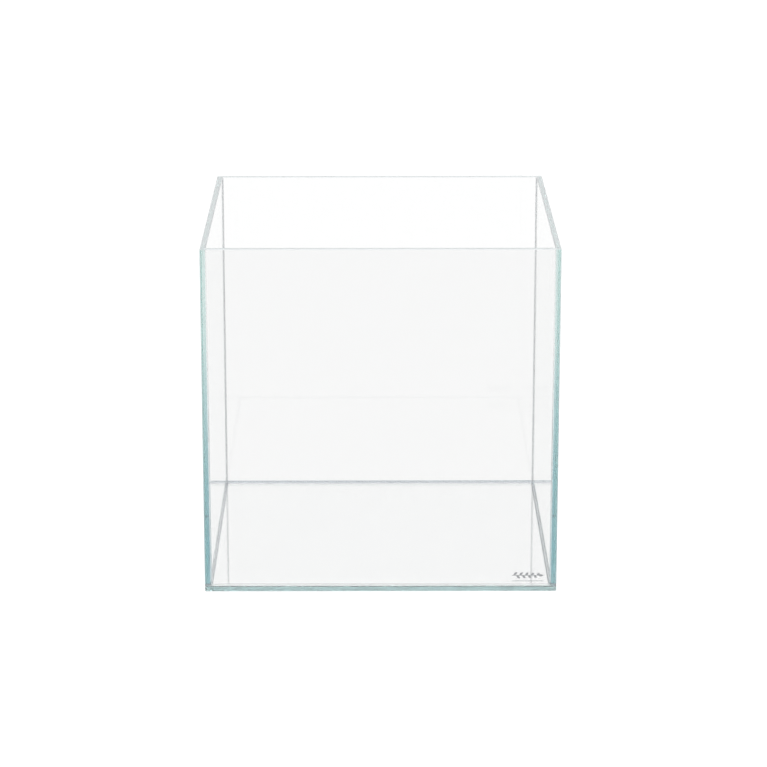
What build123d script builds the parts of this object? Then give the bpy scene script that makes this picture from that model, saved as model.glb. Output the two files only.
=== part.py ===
"""A rimless glass aquarium cube: five bonded panes, the silicone that joins them, and a printed mark.

Frame: origin at the centre of the underside, +X to the right, +Y to the back, +Z up. Millimetres.
The four walls stand on the floor pane. The front and back walls are full width, and the side walls sit
between them. Every pane edge has an arris, and the silicone fills the grooves that the arrises leave.
"""

from build123d import *
import os

# Driving sizes.
WIDTH = 300.0
DEPTH = 300.0
HEIGHT = 300.0
GLASS = 5.0  # thickness of every pane
ARRIS = 0.8  # 45 degree flat ground on every pane edge
BOND = 0.4  # silicone film between two panes
BOND_RECESS = 0.3  # how far the film is trimmed back from the outside
CORNER_BEAD = 0.9  # leg of the sealing bead up each inner corner
FLOOR_BEAD = 1.6  # leg of the thicker bead around the floor
BEAD_HOLLOW = 0.72  # reach of a bead's hollow face from its corner, as a share of the straight chord's
BEAD_STOP = 1.2  # how far below the rim the upright beads end

# The printed mark on the outside of the front pane: a leafy sprig above a thin line.
PRINT = 0.1  # thickness of the print
MARK_LENGTH = 27.0
MARK_X = 125.5  # middle of the mark
SPRIG_Z = 14.4
STEM_WIDTH = 0.5
LEAF_LENGTH = 4.4
LEAF_WIDTH = 2.0
LEAVES = 9  # along the stem, above it and below it by turns
LEAF_ANGLE = 42.0  # degrees between a leaf and the stem
LEAF_TAPER = 0.04  # how much shorter each leaf is than the one before it, as a share of the first
TIP_OVERLAP = 1.5  # how far the stem runs into the leaf at its tip
LINE_Z = 9.4
LINE_WIDTH = 0.5

# Places that follow.
OUT_X = WIDTH / 2
OUT_Y = DEPTH / 2
IN_X = OUT_X - GLASS
IN_Y = OUT_Y - GLASS
WALL_FOOT = GLASS + BOND
SIDE_END = IN_Y - BOND


def block(x, y, z):
    """A plain box between two limits on each axis."""
    size = [high - low for low, high in (x, y, z)]
    middle = [(high + low) / 2 for low, high in (x, y, z)]
    return Pos(*middle) * Box(*size)


def pane(x, y, z):
    """A sheet of glass between the limits, with an arris on all twelve edges."""
    sheet = block(x, y, z)
    return chamfer(sheet.edges(), ARRIS)


def to_the_back(shape):
    return mirror(shape, about=Plane.XZ)


def to_the_right(shape):
    return mirror(shape, about=Plane.YZ)


def panes():
    front = pane((-OUT_X, OUT_X), (-OUT_Y, -IN_Y), (WALL_FOOT, HEIGHT))
    left = pane((-OUT_X, -IN_X), (-SIDE_END, SIDE_END), (WALL_FOOT, HEIGHT))
    return {
        "floor_pane": pane((-OUT_X, OUT_X), (-OUT_Y, OUT_Y), (0, GLASS)),
        "front_pane": front,
        "back_pane": to_the_back(front),
        "left_pane": left,
        "right_pane": to_the_right(left),
    }


def foot_bonds(glass):
    """The film under each wall, with the grooves between the arrises above and below it."""
    outer_x = OUT_X - BOND_RECESS
    outer_y = OUT_Y - BOND_RECESS
    z = (GLASS - ARRIS, WALL_FOOT + ARRIS)
    front = block((-outer_x, outer_x), (-outer_y, -IN_Y), z) - glass["floor_pane"] - glass["front_pane"]
    left = block((-outer_x, -IN_X), (-IN_Y, IN_Y), z) - glass["floor_pane"] - glass["left_pane"]
    return {
        "front_foot_bond": front,
        "back_foot_bond": to_the_back(front),
        "left_foot_bond": left,
        "right_foot_bond": to_the_right(left),
    }


def corner_bonds(glass, feet):
    """The upright film between the front or back wall and the end of a side wall."""
    x = (-OUT_X + BOND_RECESS, -IN_X)
    y = (-IN_Y - ARRIS, -SIDE_END + ARRIS)
    film = block(x, y, (GLASS, HEIGHT - BOND_RECESS))
    film = film - glass["front_pane"] - glass["left_pane"] - glass["floor_pane"]
    film = film - feet["front_foot_bond"] - feet["left_foot_bond"]
    return four_corners(film, "corner_bond")


def four_corners(front_left, name):
    """The front left piece and its mirror images at the other three corners."""
    front_right = to_the_right(front_left)
    return {
        f"front_left_{name}": front_left,
        f"front_right_{name}": front_right,
        f"back_left_{name}": to_the_back(front_left),
        f"back_right_{name}": to_the_back(front_right),
    }


def bead_profile(leg):
    """A bead's section in the plane's first quadrant, with the corner that it seals at the origin."""
    middle = leg / 2 * BEAD_HOLLOW
    legs = Polyline((0, leg), (0, 0), (leg, 0))
    hollow = ThreePointArc((leg, 0), (middle, middle), (0, leg))
    return make_face(legs + hollow)


def sector(start, end):
    """The wedge of space above the floor between its middle and one side, which gives a bead its mitres."""
    wedge = make_face(Polyline(start, end, (0, 0), close=True))
    return Pos(0, 0, GLASS) * extrude(wedge, FLOOR_BEAD)


def floor_beads():
    """The beads where the walls meet the floor, mitred where two of them meet."""
    front_plane = Plane((-IN_X, -IN_Y, GLASS), x_dir=(0, 1, 0), z_dir=(1, 0, 0))
    left_plane = Plane((-IN_X, IN_Y, GLASS), x_dir=(1, 0, 0), z_dir=(0, -1, 0))
    front = extrude(front_plane * bead_profile(FLOOR_BEAD), 2 * IN_X) & sector((-IN_X, -IN_Y), (IN_X, -IN_Y))
    left = extrude(left_plane * bead_profile(FLOOR_BEAD), 2 * IN_Y) & sector((-IN_X, -IN_Y), (-IN_X, IN_Y))
    return {
        "front_floor_bead": front,
        "back_floor_bead": to_the_back(front),
        "left_floor_bead": left,
        "right_floor_bead": to_the_right(left),
    }


def corner_beads(along_floor):
    """The upright beads, standing on the floor beads and ending short of the rim."""
    run = Pos(-IN_X, -IN_Y, GLASS) * extrude(bead_profile(CORNER_BEAD), HEIGHT - BEAD_STOP - GLASS)
    run = run - along_floor["front_floor_bead"] - along_floor["left_floor_bead"]
    return four_corners(run, "corner_bead")


def printed(shape, z):
    """A flat shape as a layer of ink on the front pane, its origin at this height in the mark's middle."""
    return extrude(Plane((MARK_X, -OUT_Y, z), x_dir=(1, 0, 0), z_dir=(0, -1, 0)) * shape, PRINT)


def leaf(x, angle, length):
    """A pointed leaf that grows from the stem's centre line, x along it."""
    tip = (length, 0)
    above = ThreePointArc((0, 0), (length / 2, LEAF_WIDTH / 2), tip)
    below = ThreePointArc(tip, (length / 2, -LEAF_WIDTH / 2), (0, 0))
    return Pos(x, 0) * Rot(0, 0, angle) * make_face(above + below)


def mark():
    """A sprig lying on its side, with a leaf at its tip, and the line below it."""
    foot = -MARK_LENGTH / 2
    tip_leaf = MARK_LENGTH / 2 - LEAF_LENGTH
    stem = tip_leaf + TIP_OVERLAP - foot
    sprig = Pos(foot + stem / 2, 0) * Rectangle(stem, STEM_WIDTH) + leaf(tip_leaf, 0, LEAF_LENGTH)
    for number in range(LEAVES):
        x = foot + (number + 0.5) * (tip_leaf - foot) / LEAVES
        side = 1 if number % 2 == 0 else -1
        sprig += leaf(x, side * LEAF_ANGLE, LEAF_LENGTH * (1 - LEAF_TAPER * number))
    return {
        "mark_sprig": printed(sprig, SPRIG_Z),
        "mark_line": printed(Rectangle(MARK_LENGTH, LINE_WIDTH), LINE_Z),
    }


def main():
    glass = panes()
    feet = foot_bonds(glass)
    along_floor = floor_beads()
    nodes = {
        **glass,
        **feet,
        **corner_bonds(glass, feet),
        **along_floor,
        **corner_beads(along_floor),
        **mark(),
    }
    os.makedirs("parts", exist_ok=True)
    for name, shape in nodes.items():
        export_step(shape, f"parts/{name}.step")


main()
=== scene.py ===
"""The looks of the glass aquarium cube: clear panes, translucent silicone and a printed mark, on white."""

import bmesh
import bpy
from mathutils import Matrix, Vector


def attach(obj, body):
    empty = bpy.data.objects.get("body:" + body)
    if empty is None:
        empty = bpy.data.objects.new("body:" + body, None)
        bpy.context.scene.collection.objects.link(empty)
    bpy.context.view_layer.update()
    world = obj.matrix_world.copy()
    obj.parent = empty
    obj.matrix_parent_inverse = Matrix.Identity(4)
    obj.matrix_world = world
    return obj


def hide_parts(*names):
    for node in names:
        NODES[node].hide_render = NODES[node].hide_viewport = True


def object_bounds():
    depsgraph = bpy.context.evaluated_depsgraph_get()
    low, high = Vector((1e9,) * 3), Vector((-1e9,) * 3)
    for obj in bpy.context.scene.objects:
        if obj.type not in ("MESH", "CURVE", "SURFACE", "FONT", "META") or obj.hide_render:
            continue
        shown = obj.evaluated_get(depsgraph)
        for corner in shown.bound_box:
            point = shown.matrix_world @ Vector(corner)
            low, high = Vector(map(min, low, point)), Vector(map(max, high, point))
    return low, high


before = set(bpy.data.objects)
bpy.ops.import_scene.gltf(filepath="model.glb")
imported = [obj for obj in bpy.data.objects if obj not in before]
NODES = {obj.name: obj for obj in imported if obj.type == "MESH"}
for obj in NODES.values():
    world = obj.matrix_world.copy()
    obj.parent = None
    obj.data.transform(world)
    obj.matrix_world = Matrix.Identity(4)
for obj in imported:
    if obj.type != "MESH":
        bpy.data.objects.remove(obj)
cad_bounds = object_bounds()

MM = 0.001
LOW, HIGH = Vector(cad_bounds[0]), Vector(cad_bounds[1])
HEIGHT = HIGH.z - LOW.z

# Places in the scene, in metres.
CAMERA_AT = Vector((-0.007, -2.544, 0.8555))
CAMERA_AIM = Vector((0.003, 0.0, 0.475 * HEIGHT))
LENS = 139.3  # mm, on a sensor 36 mm wide
SENSOR = 36.0
FLOOR_SIZE = 40.0
FLOOR_GAP = 0.5 * MM  # the air under the tank
CONTACT_GAP = 0.02 * MM  # keeps silicone and ink just clear of the glass
WELD = 0.001 * MM  # corners closer than this are one corner
SAME_WAY = 0.98  # least cosine between the normals of faces that count as one

# Brightness of the white surroundings, where 1 is the picture's white.
WHITE = 1.084

# How many times light may bounce. The edge of a pane traps it for long.
BOUNCES = 64
DIFFUSE_BOUNCES = 4


# ---- materials in general ----

NOISE_RANGE = (0.3, 0.7)  # nearly all of a noise's values


def new_material(name):
    """A material, its node tree and its shader."""
    material = bpy.data.materials.new(name)
    material.use_nodes = True
    tree = material.node_tree
    return material, tree, tree.nodes["Principled BSDF"]


def set_material(piece, material):
    piece.data.materials.clear()
    piece.data.materials.append(material)


def add_node(tree, kind, **values):
    node = tree.nodes.new(kind)
    for name, value in values.items():
        setattr(node, name, value)
    return node


def absorb(tree, per_metre, density):
    """Absorbs red, green and blue inside the piece, at these rates to the metre, all below the density."""
    inside = add_node(tree, "ShaderNodeVolumeAbsorption")
    inside.inputs["Color"].default_value = (*[1 - rate / density for rate in per_metre], 1)
    inside.inputs["Density"].default_value = density
    tree.links.new(inside.outputs["Volume"], tree.nodes["Material Output"].inputs["Volume"])


def split_place(tree, kind):
    """The parts of a point's place ("Object") or of the way its surface faces ("Normal")."""
    place = add_node(tree, "ShaderNodeTexCoord")
    parts = add_node(tree, "ShaderNodeSeparateXYZ")
    tree.links.new(place.outputs[kind], parts.inputs[0])
    return parts.outputs


def calculate(tree, operation, *values):
    """A sum, by its name, on one or two node outputs."""
    node = add_node(tree, "ShaderNodeMath", operation=operation)
    for value, socket in zip(values, node.inputs):
        tree.links.new(value, socket)
    return node.outputs[0]


def beyond_half(tree, value):
    """1 where the value is over a half, and 0 elsewhere."""
    mask = add_node(tree, "ShaderNodeMath", operation="GREATER_THAN")
    mask.inputs[1].default_value = 0.5
    tree.links.new(value, mask.inputs[0])
    return mask.outputs[0]


def between(tree, share, low, high, start=0.0, end=1.0):
    """A number that goes from low to high as the share goes from start to end."""
    node = add_node(tree, "ShaderNodeMapRange")
    node.inputs["From Min"].default_value = start
    node.inputs["From Max"].default_value = end
    node.inputs["To Min"].default_value = low
    node.inputs["To Max"].default_value = high
    tree.links.new(share, node.inputs["Value"])
    return node.outputs["Result"]


def ramp(tree, share, stops):
    """A colour that blends from stop to stop, each a place from 0 to 1 and a colour."""
    node = add_node(tree, "ShaderNodeValToRGB")
    bands = node.color_ramp.elements
    bands.remove(bands[1])
    for number, (place, colour) in enumerate(stops):
        band = bands.new(place) if number else bands[0]
        band.position = place
        band.color = (*colour, 1)
    tree.links.new(share, node.inputs["Fac"])
    return node.outputs["Color"]


def noise(tree, per_metre, detail):
    """Soft random spots, given how many there are to a metre along each axis."""
    place = add_node(tree, "ShaderNodeTexCoord")
    stretched = add_node(tree, "ShaderNodeVectorMath", operation="MULTIPLY")
    stretched.inputs[1].default_value = per_metre
    spots = add_node(tree, "ShaderNodeTexNoise")
    spots.inputs["Scale"].default_value = 1.0
    spots.inputs["Detail"].default_value = detail
    tree.links.new(place.outputs["Object"], stretched.inputs[0])
    tree.links.new(stretched.outputs[0], spots.inputs["Vector"])
    return spots.outputs["Fac"]


def bump(tree, surface, height, strength, depth, where=None):
    """Makes the surface uneven, all of it or only where a mask is 1."""
    node = add_node(tree, "ShaderNodeBump")
    node.inputs["Distance"].default_value = depth
    node.inputs["Strength"].default_value = strength
    if where:
        tree.links.new(between(tree, where, 0.0, strength), node.inputs["Strength"])
    tree.links.new(height, node.inputs["Height"])
    tree.links.new(node.outputs["Normal"], surface.inputs["Normal"])


# ---- parts of a piece ----

def most_along(tree, axes):
    """How squarely a face turns towards whichever of the axes it faces most."""
    normal = split_place(tree, "Normal")
    most = calculate(tree, "ABSOLUTE", normal[axes[0]])
    for axis in axes[1:]:
        most = calculate(tree, "MAXIMUM", most, calculate(tree, "ABSOLUTE", normal[axis]))
    return most


def side_faces(tree, axes):
    """1 on the faces, arrises among them, that turn either way along one of the axes."""
    return beyond_half(tree, most_along(tree, axes))


def climb(tree):
    """0 at the foot of the tank and 1 at its rim."""
    return between(tree, split_place(tree, "Object")["Z"], 0.0, 1.0, LOW.z, HIGH.z)


def rim_faces(tree):
    """1 on the upper edge of a wall, with its arrises."""
    return calculate(tree, "MINIMUM", side_faces(tree, "Z"), beyond_half(tree, climb(tree)))


# ---- glass ----

GLASS_IOR = 1.52
FACE_TINT = (0.930, 0.928, 0.928)
EDGE_TINT = (0.82, 0.85, 0.86)
GROUND = (0.28, 0.45)  # roughness of a ground edge, from its smoothest streaks to its roughest
FROST = (0.40, 0.70)  # share of an open ground edge that scatters light and doesn't let it through
# Grinding streaks run along every edge of a pane, so only its thickness crosses many of them.
ALONG, ACROSS = 60.0, 2000.0  # streaks to the metre
WIDE_WALL_STREAKS = (ALONG, ACROSS, ALONG)
SIDE_WALL_STREAKS = (ACROSS, ALONG, ALONG)
FLOOR_STREAKS = (ALONG, ALONG, ACROSS)
STREAK_DETAIL = 3.0
STREAK_DEPTH = 0.02 * MM
STREAK_STRENGTH = 0.6
GLOSS_IOR = 2.6  # of the floor's upper face
# Rates to the metre at which the glass absorbs red, green and blue.
WALL_ABSORBS = (1.13, 0.42, 0.52)
FLOOR_ABSORBS = (1.9, 0.85, 0.85)
GLASS_DENSITY = 3.0


def glass_material(name, absorbs):
    """Clear glass, polished all over."""
    material, tree, glass = new_material(name)
    glass.inputs["IOR"].default_value = GLASS_IOR
    glass.inputs["Roughness"].default_value = 0.0
    glass.inputs["Transmission Weight"].default_value = 1.0
    glass.inputs["Base Color"].default_value = (*FACE_TINT, 1)
    absorb(tree, absorbs, GLASS_DENSITY)
    return material, tree, glass


def grind(tree, glass, edges, streaks):
    """Edges with fine grinding streaks."""
    marks = noise(tree, streaks, STREAK_DETAIL)
    rough = between(tree, marks, *GROUND, *NOISE_RANGE)
    tree.links.new(calculate(tree, "MINIMUM", edges, rough), glass.inputs["Roughness"])
    bump(tree, glass, marks, STREAK_STRENGTH, STREAK_DEPTH, where=edges)


def frost(tree, glass, edges, streaks):
    """Edges that scatter part of the light, as ground glass does in air."""
    share = between(tree, noise(tree, streaks, STREAK_DETAIL), *FROST, *NOISE_RANGE)
    frosted = calculate(tree, "MINIMUM", edges, share)
    tree.links.new(between(tree, frosted, 1.0, 0.0), glass.inputs["Transmission Weight"])
    tree.links.new(ramp(tree, edges, [(0, FACE_TINT), (1, EDGE_TINT)]), glass.inputs["Base Color"])


def floor_glass():
    """The floor pane, with four open edges. It mirrors the walls in the light that comes down to it."""
    material, tree, glass = glass_material("floor_glass", FLOOR_ABSORBS)
    grind(tree, glass, side_faces(tree, "XY"), FLOOR_STREAKS)
    upper_face = beyond_half(tree, split_place(tree, "Normal")["Z"])
    tree.links.new(upper_face, glass.inputs["Coat Weight"])
    glass.inputs["Coat IOR"].default_value = GLOSS_IOR
    glass.inputs["Coat Roughness"].default_value = 0.0
    return material


def wide_wall_glass():
    """The front and back panes, open at the rim and at both ends."""
    material, tree, glass = glass_material("wide_wall_glass", WALL_ABSORBS)
    rim = rim_faces(tree)
    open_edges = calculate(tree, "MAXIMUM", rim, side_faces(tree, "X"))
    grind(tree, glass, open_edges, WIDE_WALL_STREAKS)
    frost(tree, glass, rim, WIDE_WALL_STREAKS)
    return material


def side_wall_glass():
    """The side panes, open at the rim only."""
    material, tree, glass = glass_material("side_wall_glass", WALL_ABSORBS)
    rim = rim_faces(tree)
    grind(tree, glass, rim, SIDE_WALL_STREAKS)
    frost(tree, glass, rim, SIDE_WALL_STREAKS)
    return material


# ---- silicone ----

SILICONE_IOR = 1.41
SILICONE_DENSITY = 300.0
CLEAR = (1.0, 1.0, 1.0)

# The thin films between panes.
FILM_ROUGHNESS = 0.03
FILM_ABSORBS = (12.0, 9.0, 8.0)
FOOT_FILM_TINT = (0.68, 0.71, 0.76)
# The front foot film's colour, from the middle of the tank to its sides.
FRONT_FOOT_FILM_STOPS = [(0.95, CLEAR), (1, FOOT_FILM_TINT)]
# A corner film's colour, from the foot of the tank to its rim: painted shade, darker and bluer towards the
# foot, where less light comes down the pane.
CORNER_FILM_SHADE_STOPS = [(0, (0.62, 0.745, 0.80)), (0.10, (0.53, 0.72, 0.77)), (0.70, CLEAR)]

# The tooled beads.
BEAD_ROUGHNESS = 0.02
FRONT_BEAD_ABSORBS = (8.0, 7.0, 7.0)
FLOOR_BEAD_ABSORBS = (20.0, 17.0, 16.0)
FLOOR_BEAD_TINT = (0.985, 0.99, 0.99)
FLOOR_BEAD_EDGE_SHADE = (0.86, 0.87, 0.88)
# A floor bead's colour, by how squarely a face turns towards an axis: the thin edges of the hollow get
# painted shade, standing in for the dark lines that refraction draws there.
FLOOR_BEAD_SHADE_STOPS = [(0.80, FLOOR_BEAD_TINT), (0.88, FLOOR_BEAD_EDGE_SHADE), (0.97, FLOOR_BEAD_EDGE_SHADE),
                    (0.99, FLOOR_BEAD_TINT)]
# The back corner beads: their grey tint and their strong absorption are painted shade, which makes them
# darker than the same silicone at the front.
CORNER_BEAD_ROUGHNESS = 0.2
CORNER_BEAD_SHADE_ABSORBS = (200.0, 190.0, 185.0)
CORNER_BEAD_SHADE_TINT = (0.68, 0.69, 0.70)
RIPPLES = (60.0, 60.0, 60.0)  # to the metre
RIPPLE_DETAIL = 1.0
RIPPLE_DEPTH = 0.05 * MM
RIPPLE_STRENGTH = 0.5


def silicone_material(name, absorbs, roughness, tint=CLEAR):
    material, tree, rubber = new_material(name)
    rubber.inputs["Roughness"].default_value = roughness
    rubber.inputs["IOR"].default_value = SILICONE_IOR
    rubber.inputs["Transmission Weight"].default_value = 1.0
    rubber.inputs["Base Color"].default_value = (*tint, 1)
    absorb(tree, absorbs, SILICONE_DENSITY)
    return material, tree, rubber


def ripple(tree, bead):
    """The slight waves that a finger or a tool leaves in a bead."""
    bump(tree, bead, noise(tree, RIPPLES, RIPPLE_DETAIL), RIPPLE_STRENGTH, RIPPLE_DEPTH)


def foot_film_material():
    material, _, _ = silicone_material("silicone_foot_film", FILM_ABSORBS, FILM_ROUGHNESS, FOOT_FILM_TINT)
    return material


def front_foot_film_material():
    """The film under the front pane, clear between the corners and as dull as the rest at the corners."""
    material, tree, film = silicone_material("silicone_front_foot_film", FILM_ABSORBS, FILM_ROUGHNESS)
    from_middle = calculate(tree, "ABSOLUTE", split_place(tree, "Object")["X"])
    share = between(tree, from_middle, 0.0, 1.0, 0.0, HIGH.x)
    tree.links.new(ramp(tree, share, FRONT_FOOT_FILM_STOPS), film.inputs["Base Color"])
    return material


def corner_film_material():
    """The thin film up a corner, almost clear, with painted shade that darkens it towards the foot of the
    tank.
    """
    material, tree, film = silicone_material("silicone_corner_film", FILM_ABSORBS, FILM_ROUGHNESS)
    tree.links.new(ramp(tree, climb(tree), CORNER_FILM_SHADE_STOPS), film.inputs["Base Color"])
    return material


def front_bead_material():
    """The beads along the front pane, tooled thin and clear."""
    material, tree, bead = silicone_material("silicone_front_bead", FRONT_BEAD_ABSORBS, BEAD_ROUGHNESS)
    ripple(tree, bead)
    return material


def floor_bead_material():
    """The beads around the floor, with painted shade on the thin edges of the hollow face, so that its
    middle looks clearer.
    """
    material, tree, bead = silicone_material("silicone_floor_bead", FLOOR_BEAD_ABSORBS, BEAD_ROUGHNESS)
    # Painted shade on the thin edges of the bead, where a clear bead would refract dark lines.
    tree.links.new(ramp(tree, most_along(tree, "XYZ"), FLOOR_BEAD_SHADE_STOPS), bead.inputs["Base Color"])
    ripple(tree, bead)
    return material


def corner_bead_material():
    """The beads up the back corners, rougher, and greyer by painted shade."""
    material, _, _ = silicone_material(
        "silicone_corner_bead", CORNER_BEAD_SHADE_ABSORBS, CORNER_BEAD_ROUGHNESS, CORNER_BEAD_SHADE_TINT)
    return material


# ---- print ----

INK_THIN = (0.36, 0.37, 0.38)
INK_THICK = (0.26, 0.27, 0.28)
INK_ROUGHNESS = (0.45, 0.70)
INK_SPOTS = (900.0, 900.0, 900.0)  # to the metre
INK_DETAIL = 2.0
INK_DEPTH = 0.02 * MM
INK_STRENGTH = 0.5


def print_material():
    """Screen-printed ink, a little uneven in thickness and sheen."""
    material, tree, ink = new_material("grey_print")
    spots = noise(tree, INK_SPOTS, INK_DETAIL)
    colour = ramp(tree, spots, zip(NOISE_RANGE, (INK_THIN, INK_THICK)))
    tree.links.new(colour, ink.inputs["Base Color"])
    tree.links.new(between(tree, spots, *INK_ROUGHNESS), ink.inputs["Roughness"])
    bump(tree, ink, spots, INK_STRENGTH, INK_DEPTH)
    return material


# ---- pieces ----

def draw_in(mesh, gap):
    """Moves every face of a closed mesh inwards by the gap."""
    build = bmesh.new()
    build.from_mesh(mesh)
    bmesh.ops.remove_doubles(build, verts=build.verts, dist=WELD)
    bmesh.ops.recalc_face_normals(build, faces=build.faces)
    moves = []
    for corner in build.verts:
        normals = []
        for face in corner.link_faces:
            if all(face.normal.dot(normal) < SAME_WAY for normal in normals):
                normals.append(face.normal.copy())
        moves.append((corner, -gap * sum(normals, Vector())))
    for corner, move in moves:
        corner.co += move
    build.to_mesh(mesh)
    build.free()


def loose_copy(node, name):
    """A piece that stands for the node, drawn in so that none of it lies in a pane's surface."""
    mesh = NODES[node].data.copy()
    mesh.name = name
    draw_in(mesh, CONTACT_GAP)
    piece = bpy.data.objects.new(name, mesh)
    bpy.context.scene.collection.objects.link(piece)
    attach(piece, "root")
    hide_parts(node)
    return piece


def glass_by_node():
    wide_wall = wide_wall_glass()
    side_wall = side_wall_glass()
    return {
        "floor_pane": floor_glass(),
        "front_pane": wide_wall,
        "back_pane": wide_wall,
        "left_pane": side_wall,
        "right_pane": side_wall,
    }


def silicone_by_ending():
    """The silicone for each ending of a node's name. The first ending that fits is the one that counts."""
    front_bead = front_bead_material()
    return {
        "front_floor_bead": front_bead,
        "front_left_corner_bead": front_bead,
        "front_right_corner_bead": front_bead,
        "front_foot_bond": front_foot_film_material(),
        "foot_bond": foot_film_material(),
        "corner_bond": corner_film_material(),
        "floor_bead": floor_bead_material(),
        "corner_bead": corner_bead_material(),
    }


def dress_object():
    glass = glass_by_node()
    silicone = silicone_by_ending()
    ink = print_material()
    for node, thing in sorted(NODES.items()):
        if node in glass:
            set_material(thing, glass[node])
        elif node.startswith("mark_"):
            mark = loose_copy(node, f"printed_{node}")
            set_material(mark, ink)
        else:
            seam = loose_copy(node, f"clear_{node}")
            set_material(seam, next(silicone[ending] for ending in silicone if node.endswith(ending)))


# ---- studio ----

def make_floor():
    """A white floor, as bright as the light around it, so that no horizon shows."""
    bpy.ops.mesh.primitive_plane_add(size=FLOOR_SIZE, location=(0, 0, LOW.z - FLOOR_GAP))
    floor = bpy.context.object
    floor.name = "floor"
    material, _, surface = new_material("white_floor")
    surface.inputs["Base Color"].default_value = (0, 0, 0, 1)
    surface.inputs["Specular IOR Level"].default_value = 0
    surface.inputs["Emission Color"].default_value = (1, 1, 1, 1)
    surface.inputs["Emission Strength"].default_value = WHITE
    set_material(floor, material)


def make_world():
    """Soft white light from all round."""
    world = bpy.data.worlds.new("studio")
    world.use_nodes = True
    background = world.node_tree.nodes["Background"]
    background.inputs["Color"].default_value = (1, 1, 1, 1)
    background.inputs["Strength"].default_value = WHITE
    bpy.context.scene.world = world


def make_camera():
    data = bpy.data.cameras.new("camera")
    data.lens = LENS
    data.sensor_width = SENSOR
    camera = bpy.data.objects.new("camera", data)
    bpy.context.scene.collection.objects.link(camera)
    camera.location = CAMERA_AT
    camera.rotation_euler = (CAMERA_AIM - CAMERA_AT).to_track_quat("-Z", "Y").to_euler()
    bpy.context.scene.camera = camera


def set_light_paths():
    cycles = bpy.context.scene.cycles
    cycles.max_bounces = BOUNCES
    cycles.transmission_bounces = BOUNCES
    cycles.glossy_bounces = BOUNCES
    cycles.diffuse_bounces = DIFFUSE_BOUNCES


dress_object()
make_floor()
make_world()
make_camera()
set_light_paths()
bpy.context.scene.view_settings.view_transform = "Standard"
